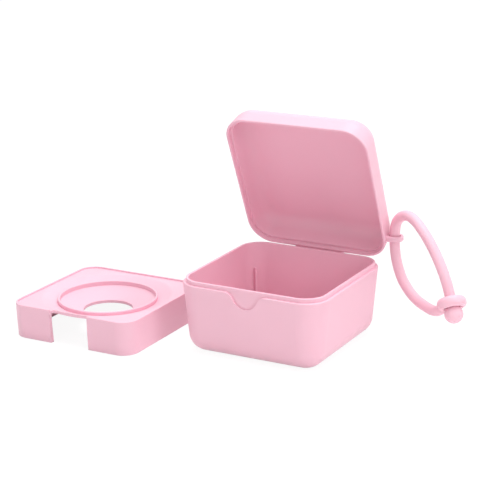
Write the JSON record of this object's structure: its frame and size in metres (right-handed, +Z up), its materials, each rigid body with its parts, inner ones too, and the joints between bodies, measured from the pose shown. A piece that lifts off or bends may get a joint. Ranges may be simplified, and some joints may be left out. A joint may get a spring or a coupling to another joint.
{
  "type": "pacifier case",
  "caption": "Square rounded pacifier case with a hinged lid standing open, a removable insert tray with a ringed teat hole, and an elastic strap loop through an eyelet on the lid.",
  "frame": {"origin": "middle of the flat underside of the base, on the surface it stands on", "axes": "+X to the right seen from the front, along the hinge; +Y to the back, towards the hinge; +Z up"},
  "size_m": [0.2062, 0.1055, 0.1063],
  "materials": {
    "case_plastic": "fine satin injection-moulded polypropylene, pale pink",
    "strap_rubber": "smooth matte silicone rubber, pale pink"
  },
  "bodies": {
    "base": {"base_box": "case_plastic"},
    "lid": {"lid": "case_plastic"},
    "tray": {"insert_tray": "case_plastic"},
    "strap": {"strap_cord": "strap_rubber", "strap_eye": "strap_rubber", "strap_ball": "strap_rubber"}
  },
  "joints": [
    {"name": "lid_hinge", "type": "hinge", "parent": "base", "child": "lid", "pos_m": [0, 0.0391, 0.0324], "axis": [-1, 0, 0], "range_deg": [-66.5, 43]},
    {"name": "strap_swing", "type": "hinge", "parent": "lid", "child": "strap", "pos_m": [0.0403, 0.04071, 0.04575], "axis": [0, 0, 1], "range_deg": [-4, 60]},
    {"name": "tray_lift", "type": "slide", "parent": "base", "child": "tray", "axis": [0, 0, 1], "range_m": [0, 0.08]}
  ]
}
